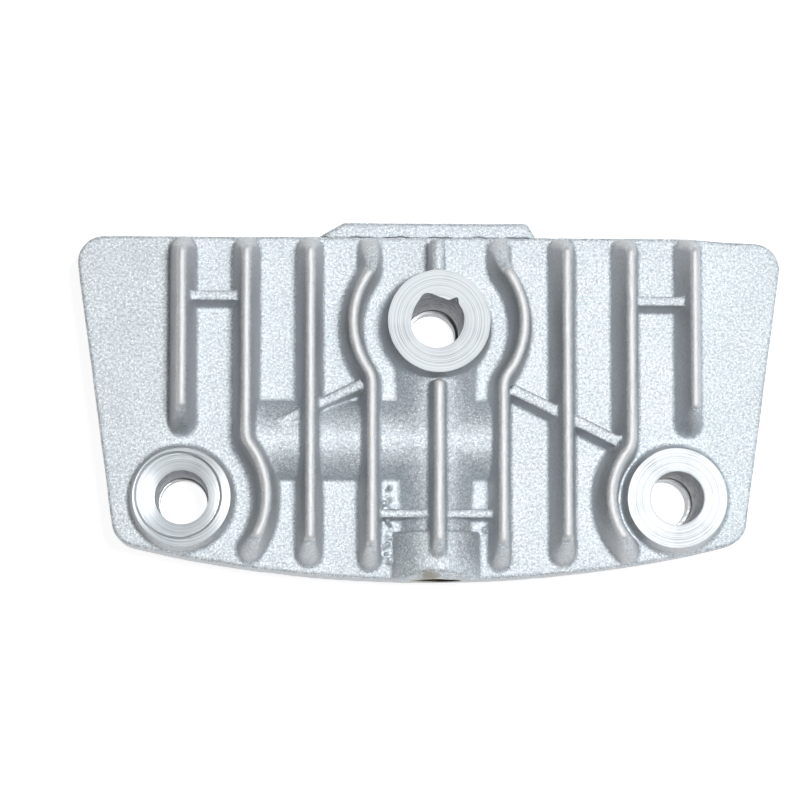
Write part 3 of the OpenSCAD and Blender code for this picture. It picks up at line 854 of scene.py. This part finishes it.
def outlet_tool():
    """Drill and tap for the outlet: turned about Z here, then laid along Y."""
    mouth = -FRONT_Y
    turns_from, turns_to = mouth - THREAD_L, mouth + 0.4
    inner = [(DRILL_R, DRILL_START), (DRILL_R, turns_from - 1.2), (THREAD_R, turns_from - 0.4)]
    threaded = [(THREAD_R, z) for z in np.arange(turns_from, turns_to, THREAD_PITCH / 8)]

    def thread(angle, z):
        """Depth of the thread's groove, which fades in at its far end."""
        if z < turns_from or z > mouth + 0.3:
            return 0.0
        phase = (z / THREAD_PITCH - angle / (2 * math.pi)) % 1
        groove = THREAD_DEPTH * max(0.0, 1 - abs(phase - 0.5) * THREAD_TAPER)
        return groove * min(1.0, (z - turns_from) / THREAD_LEAD)

    tool = turned_tool("outlet_tap", (0, 0), inner + threaded + [(THREAD_R, mouth + 2)], 96, thread)
    lay = Matrix.Translation((AXIS_X * MM, 0, OUTLET[2] * MM)) @ Matrix.Rotation(math.pi / 2, 4, "X")
    tool.data.transform(lay)
    return tool


def make_casting():
    field = casting_field(FINE_STEP)
    points, quads = surface_nets(field)
    piece = quad_mesh_object("casting_skin", settle(field, points), quads)
    thin_out(piece, MOST_TRIANGLES)
    carve(piece, slab_tool("joint_cut", (-80, -50, JOINT_Z - 10), (80, 50, JOINT_Z)))
    cut_bolt_holes(piece)
    carve(piece, outlet_tool())
    return piece


# ---- Materials --------------------------------------------------------------------------------

class Look:
    """A node material, built one node at a time."""

    def __init__(self, name, color, metallic, roughness, **sockets):
        self.material = bpy.data.materials.new(name)
        self.material.use_nodes = True
        self.tree = self.material.node_tree
        self.shader = self.tree.nodes["Principled BSDF"]
        self.set(self.shader, "Base Color", (*color, 1))
        self.set(self.shader, "Metallic", metallic)
        self.set(self.shader, "Roughness", roughness)
        for key, value in sockets.items():
            self.set(self.shader, key.replace("_", " "), value)

    def set(self, node, socket, value):
        node.inputs[socket].default_value = value

    def link(self, source, node, socket):
        self.tree.links.new(source, node.inputs[socket])

    def node(self, kind, inputs=(), **settings):
        made = self.tree.nodes.new("ShaderNode" + kind)
        for key, value in settings.items():
            setattr(made, key, value)
        for socket, value in dict(inputs).items():
            if isinstance(value, bpy.types.NodeSocket):
                self.link(value, made, socket)
            else:
                self.set(made, socket, value)
        return made

    def place(self):
        return self.node("TexCoord").outputs["Object"]

    def noise(self, vector, scale, detail=4.0, roughness=0.6):
        inputs = {"Vector": vector, "Scale": scale, "Detail": detail, "Roughness": roughness}
        return self.node("TexNoise", inputs).outputs["Fac"]

    def ramp(self, value, low, high, to_low=0.0, to_high=1.0):
        inputs = {"Value": value, "From Min": low, "From Max": high, "To Min": to_low, "To Max": to_high}
        return self.node("MapRange", inputs).outputs["Result"]

    def mix(self, factor, a, b, blend_type="MIX"):
        made = self.node("Mix", data_type="RGBA", blend_type=blend_type)
        for socket, value in ((0, factor), (6, a), (7, b)):
            if isinstance(value, bpy.types.NodeSocket):
                self.tree.links.new(value, made.inputs[socket])
            elif socket == 0:
                made.inputs[0].default_value = value
            else:
                made.inputs[socket].default_value = (*value, 1)
        return made.outputs[2]

    def math(self, operation, a, b=0.0, clamp=False):
        made = self.node("Math", operation=operation, use_clamp=clamp)
        for socket, value in enumerate((a, b)):
            if isinstance(value, bpy.types.NodeSocket):
                self.tree.links.new(value, made.inputs[socket])
            else:
                made.inputs[socket].default_value = value
        return made.outputs[0]

    def bump(self, height, distance, strength=1.0, under=None):
        inputs = {"Height": height, "Distance": distance, "Strength": strength}
        if under is not None:
            inputs["Normal"] = under
        return self.node("Bump", inputs).outputs["Normal"]

    def surface(self, **links):
        for key, source in links.items():
            self.link(source, self.shader, key.replace("_", " "))
        return self.material


def cast_aluminium():
    """Blasted die casting: a fine bright grain, painted shade on its steep flanks, and fin tips painted
    paler, partly worn bright and partly a painted highlight.
    """
    dull, pale, pit, speck = (0.69, 0.75, 0.785), (0.76, 0.82, 0.855), (0.32, 0.35, 0.39), (0.98, 0.99, 1.0)
    painted_flank_shade, tip, brown = (0.43, 0.43, 0.44), (0.68, 0.68, 0.68), (0.27, 0.24, 0.16)
    look = Look("cast_skin", (0.62, 0.65, 0.69), 0.65, 0.64)
    at = look.place()
    z = look.node("SeparateXYZ", {"Vector": at}).outputs["Z"]
    facing = look.node("SeparateXYZ", {"Vector": look.node("NewGeometry").outputs["Normal"]})
    steep = look.ramp(facing.outputs["Z"], 0.55, 0.15)
    cloud = look.ramp(look.noise(at, 110, 3), 0.35, 0.68)
    tone = look.mix(cloud, dull, pale)
    grain = look.noise(at, 2000, 4, 0.8)
    tone = look.mix(look.ramp(grain, 0.38, 0.6, 0.75, 0.0), tone, pit)
    specks = look.ramp(look.noise(at, 3100, 2), 0.56, 0.66)
    tone = look.mix(specks, tone, speck)
    # Painted shade: faces that stand steep turn towards a darker grey, as they would fall dark under the
    # flash from above.
    tone = look.mix(look.math("MULTIPLY", steep, 0.6), tone, painted_flank_shade)
    # Painted highlight and wear together: the top 0.7 mm of the fins turns paler, partly worn bright and
    # partly standing in for the flash's highlight along the ridges.
    rubbed_and_lit = look.ramp(z, (TIP_Z - 0.7) * MM, (TIP_Z - 0.1) * MM)
    worn = look.math("MULTIPLY", rubbed_and_lit, look.ramp(look.noise(at, 700, 3), 0.3, 0.6, 0.6, 1.0))
    tone = look.mix(worn, tone, tip)
    spot = look.node("VectorMath", {0: at, 1: STAIN}, operation="DISTANCE").outputs["Value"]
    smudge = look.math("ADD", spot, look.math("MULTIPLY", look.noise(at, 500, 3), 0.0024))
    tone = look.mix(look.ramp(smudge, 0.0034, 0.0022, 0.0, 0.7), tone, brown)
    rough = look.ramp(worn, 0.0, 1.0, 0.64, 0.58)
    coarse = look.bump(look.noise(at, 480, 4), 0.00022, 0.6)
    normal = look.bump(grain, 0.00012, 0.9, coarse)
    return look.surface(Base_Color=tone, Roughness=rough, Normal=normal)


def cored_wall():
    """Wall of a cast bolt hole: darker and rougher, and painted black near the joint as the shade in the
    gap there.
    """
    look = Look("cored_wall", (0.2, 0.21, 0.23), 0.3, 0.6)
    at = look.place()
    height = look.node("SeparateXYZ", {"Vector": at}).outputs["Z"]
    grain = look.noise(at, 700, 4, 0.7)
    tone = look.mix(look.ramp(grain, 0.38, 0.62), (0.5, 0.52, 0.56), (0.95, 0.96, 0.98))
    # Painted shade: the wall turns black below 1.2 mm above the joint, fading out by 2.2 mm, where the gap
    # at the joint lies in shadow.
    painted_gap_shade = look.ramp(height, (JOINT_Z + 2.2) * MM, (JOINT_Z + 1.2) * MM)
    tone = look.mix(painted_gap_shade, tone, (0.012, 0.012, 0.014))
    return look.surface(Base_Color=tone, Normal=look.bump(grain, 0.0003, 0.9))


def machined_aluminium(name, centre, bright, gloss, streaks):
    """Turned or milled face, with rings left by the cutter about a centre, and darker streaks."""
    rings_per_metre = 3600.0
    look = Look(name, (0.72, 0.74, 0.77), 0.13, 0.65 - 0.35 * gloss)
    look.set(look.shader, "Anisotropic", 0.6 + 0.35 * gloss)
    at = look.place()
    middle = (float(centre[0]) * MM, float(centre[1]) * MM, 0.0)
    arm = look.node("VectorMath", {0: at, 1: middle}, operation="SUBTRACT").outputs["Vector"]
    flat = look.node("VectorMath", {0: arm, 1: (1.0, 1.0, 0.0)}, operation="MULTIPLY").outputs["Vector"]
    away = look.node("VectorMath", {0: flat}, operation="LENGTH").outputs["Value"]
    radial = look.node("VectorMath", {0: flat}, operation="NORMALIZE").outputs["Vector"]
    wobble = look.math("MULTIPLY", look.noise(at, 60, 2), 0.00025)
    place = look.math("MULTIPLY", look.math("ADD", away, wobble), rings_per_metre)
    rings = look.node("TexNoise", {"W": place, "Scale": 1.0, "Detail": 2.0}, noise_dimensions="1D")
    rings = rings.outputs["Fac"]
    patch = look.ramp(look.noise(at, 150, 3), 0.46, 0.62, 0.0, streaks)
    # bright is the face's lightness: partly its own tone and partly painted shade, given face by face for
    # how the flash falls on it.
    light = (bright, bright + 0.04, bright + 0.07)
    tone = look.mix(look.ramp(rings, 0.35, 0.65), tuple(0.72 * c for c in light), light)
    lines = look.math("MULTIPLY", patch, look.ramp(rings, 0.62, 0.4))
    tone = look.mix(lines, tone, (0.30, 0.32, 0.36))
    normal = look.bump(rings, 0.00008, 0.8)
    return look.surface(Base_Color=tone, Tangent=radial, Normal=normal)


def brushed_metal(name, color, roughness, along="X", scale=1.0):
    """Ground, rolled or tapped metal, with fine lines along one axis and faint staining."""
    look = Look(name, color, 0.95, roughness)
    stretch = {"X": (0.04, 1, 1), "Y": (1, 0.04, 1), "Z": (1, 1, 0.04)}[along]
    at = look.place()
    drawn = look.node("VectorMath", {0: at, 1: stretch}, operation="MULTIPLY").outputs["Vector"]
    lines = look.noise(drawn, 4200 * scale, 3)
    stain = look.noise(at, 130, 3)
    dark = tuple(c * 0.72 for c in color)
    tone = look.mix(look.ramp(lines, 0.3, 0.7), dark, color)
    tone = look.mix(look.ramp(stain, 0.5, 0.75, 0.0, 0.35), tone, tuple(c * 0.6 for c in color))
    rough = look.ramp(lines, 0.3, 0.7, roughness + 0.12, roughness - 0.05)
    return look.surface(Base_Color=tone, Roughness=rough, Normal=look.bump(lines, 0.00004, 0.5))


def gasket_fibre():
    """Compressed fibre sheet: near black, with short pale fibres and a dusty surface."""
    look = Look("gasket_fibre", (0.05, 0.05, 0.055), 0.0, 0.85)
    at = look.place()
    drawn = look.node("VectorMath", {0: at, 1: (1, 0.2, 1)}, operation="MULTIPLY").outputs["Vector"]
    fibre = look.noise(drawn, 3000, 4)
    dust = look.noise(at, 200, 4)
    tone = look.mix(look.ramp(fibre, 0.55, 0.75), (0.035, 0.035, 0.04), (0.16, 0.16, 0.15))
    tone = look.mix(look.ramp(dust, 0.5, 0.8, 0.0, 0.4), tone, (0.12, 0.12, 0.12))
    return look.surface(Base_Color=tone, Normal=look.bump(fibre, 0.00006, 0.7))


def black_oxide():
    """Screws: blackened steel, worn brown-grey on its high spots."""
    look = Look("black_oxide", (0.05, 0.05, 0.055), 0.8, 0.4)
    at = look.place()
    wear = look.noise(at, 900, 4)
    tone = look.mix(look.ramp(wear, 0.5, 0.7), (0.045, 0.045, 0.05), (0.20, 0.19, 0.18))
    rough = look.ramp(wear, 0.3, 0.7, 0.5, 0.32)
    return look.surface(Base_Color=tone, Roughness=rough, Normal=look.bump(wear, 0.00003, 0.5))


def dress(node, material):
    """Gives a CAD node one material."""
    mesh = NODES[node].data
    mesh.materials.clear()
    mesh.materials.append(material)


def dress_nodes():
    plate = brushed_metal("plate_steel", (0.42, 0.43, 0.45), 0.4, "X")
    spring = brushed_metal("spring_steel", (0.42, 0.45, 0.50), 0.22, "X", 1.5)
    stop = brushed_metal("stop_steel", (0.55, 0.56, 0.58), 0.36, "Y")
    pin = brushed_metal("pin_steel", (0.70, 0.71, 0.73), 0.18, "Z", 1.5)
    fibre = gasket_fibre()
    screw = black_oxide()
    dress("valve_plate", plate)
    dress("discharge_stop", stop)
    for node in ("head_gasket", "cylinder_gasket"):
        dress(node, fibre)
    for node in ("discharge_reed", "discharge_reed_root", "suction_reed", "suction_reed_root"):
        dress(node, spring)
    for side in ("front", "back"):
        dress("discharge_screw_" + side, screw)
        dress("discharge_lock_washer_" + side, screw)
        dress("suction_rivet_" + side, pin)
    for side in ("left", "right"):
        dress("locating_pin_" + side, pin)


def finish_casting(piece):
    """Gives machined faces and cored walls their own materials, and keeps their edges crisp."""
    mesh = piece.data
    mesh.materials.clear()
    # Columns: name, bolt, face height, reach, lightness, gloss, streaks. The lightness is partly each
    # face's tone and partly painted shade set face by face.
    bosses = (
        ("machined_left", LEFT_BOLT, FRONT_BOSS_Z, LEFT_BOSS_R, 0.56, 0.9, 0.7),
        ("machined_right", RIGHT_BOLT, FRONT_BOSS_Z, RIGHT_BOSS_R, 0.72, 0.45, 0.7),
        ("machined_rear", REAR_BOLT, TIP_Z, REAR_BOSS_R, 0.72, 0.0, 0.35),
    )
    mill_centre = (20, -190)
    cored, first_face, milled, tapped = 1, 2, 5, 6
    mesh.materials.append(cast_aluminium())
    mesh.materials.append(cored_wall())
    for name, centre, _, _, *finish in bosses:
        mesh.materials.append(machined_aluminium(name, centre, *finish))
    mesh.materials.append(machined_aluminium("milled_joint", mill_centre, 0.6, 0.3, 0.2))
    mesh.materials.append(brushed_metal("tapped_thread", (0.46, 0.43, 0.37), 0.45, "Y"))
    count = len(mesh.polygons)
    centre = np.zeros(count * 3)
    normal = np.zeros(count * 3)
    mesh.polygons.foreach_get("center", centre)
    mesh.polygons.foreach_get("normal", normal)
    x, y, z = centre.reshape(-1, 3).T / MM
    nz = normal.reshape(-1, 3)[:, 2]
    kind = np.zeros(count, np.int32)
    for number, (_, bolt, face_z, reach, *_) in enumerate(bosses, first_face):
        away = np.hypot(x - bolt[0], y - bolt[1])
        top = (away < reach + 0.4) & (nz > 0.3) & (z > face_z - 1.3) & (z < face_z + 0.05)
        kind[(away < BOLT_R + 1.3) & (z < face_z - 0.02) & (nz < 0.3)] = cored
        kind[top] = number
    bore = np.hypot(x - AXIS_X, z - OUTLET[2])
    kind[(nz < -0.99) & (np.abs(z - JOINT_Z) < 0.02)] = milled
    kind[(bore < THREAD_R + THREAD_DEPTH + 0.1) & (y < FRONT_Y + THREAD_L + 4)] = tapped
    mesh.polygons.foreach_set("material_index", kind)
    mesh.polygons.foreach_set("use_smooth", np.ones(count, bool))
    mesh.set_sharp_from_angle(angle=SHARP_ANGLE)
    mesh.update()


# ---- Stage, light and camera ------------------------------------------------------------------

def make_stage():
    """White paper under the head, bright enough to leave no edge."""
    half = 3.0
    floor = mesh_object("floor", np.array([
        (-half, -half, 0), (half, -half, 0), (half, half, 0), (-half, half, 0)
    ]) / MM, [(0, 1, 2, 3)])
    look = Look("floor", (0.5, 0.5, 0.5), 0.0, 0.9)
    look.set(look.shader, "Emission Color", (1, 1, 1, 1))
    look.set(look.shader, "Emission Strength", 0.9)
    floor.data.materials.append(look.material)


def area_light(name, place, size, power, color):
    """Round light, aimed at the head's middle."""
    data = bpy.data.lights.new(name, "AREA")
    data.shape = "DISK"
    data.size = size
    data.energy = power
    data.color = color
    light = bpy.data.objects.new(name, data)
    light.location = place
    light.rotation_euler = (Vector(HEAD_MIDDLE) - Vector(place)).to_track_quat("-Z", "Y").to_euler()
    bpy.context.scene.collection.objects.link(light)


def make_light():
    """A flash beside the camera, in a dim room that is warm on the left and cool on the right.

    The camera itself sees white paper all round, and not the room.
    """
    scene = bpy.context.scene
    scene.view_settings.view_transform = "Standard"
    world = bpy.data.worlds.new("studio")
    scene.world = world
    world.use_nodes = True
    nodes, links = world.node_tree.nodes, world.node_tree.links
    back = nodes["Background"]
    back.inputs["Strength"].default_value = 0.12
    side = nodes.new("ShaderNodeSeparateXYZ")
    links.new(nodes.new("ShaderNodeTexCoord").outputs["Generated"], side.inputs[0])
    ramp = nodes.new("ShaderNodeValToRGB")
    ramp.color_ramp.elements[0].color = (0.40, 0.25, 0.13, 1)
    ramp.color_ramp.elements[1].color = (0.95, 1.2, 1.5, 1)
    spread = nodes.new("ShaderNodeMapRange")
    spread.inputs["From Min"].default_value = -1
    links.new(side.outputs["X"], spread.inputs["Value"])
    links.new(spread.outputs["Result"], ramp.inputs["Fac"])
    links.new(ramp.outputs["Color"], back.inputs["Color"])
    paper = nodes.new("ShaderNodeBackground")
    paper.inputs["Color"].default_value = (0.96, 0.965, 0.97, 1)
    seen = nodes.new("ShaderNodeMixShader")
    links.new(nodes.new("ShaderNodeLightPath").outputs["Is Camera Ray"], seen.inputs["Fac"])
    links.new(back.outputs["Background"], seen.inputs[1])
    links.new(paper.outputs["Background"], seen.inputs[2])
    links.new(seen.outputs["Shader"], nodes["World Output"].inputs["Surface"])
    area_light("flash", (0.06, 0.012, 0.62), size=0.1, power=3.45, color=(1.0, 1.0, 0.99))
    area_light("window", (0.7, 0.1, 0.35), size=0.4, power=0.8, color=(0.85, 0.94, 1.0))


def make_camera():
    """Camera almost overhead, above the front left of the head, level with the fins' lines."""
    data = bpy.data.cameras.new("camera")
    data.lens = CAMERA_LENS
    data.sensor_width = 36
    data.clip_start, data.clip_end = 0.01, 20
    camera = bpy.data.objects.new("camera", data)
    place = Vector(CAMERA_PLACE)
    look = (Vector(CAMERA_TARGET) - place).normalized()
    right = look.cross(Vector((0, 1, 0))).normalized()
    up = right.cross(look)
    turn = Matrix((right, up, -look)).transposed()
    camera.matrix_world = Matrix.Translation(place) @ turn.to_4x4()
    bpy.context.scene.collection.objects.link(camera)
    bpy.context.scene.camera = camera


# ---- The scene --------------------------------------------------------------------------------

make_camera()
make_light()
make_stage()
casting = make_casting()
finish_casting(casting)
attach(casting, "head")
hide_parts("head_casting")
dress_nodes()
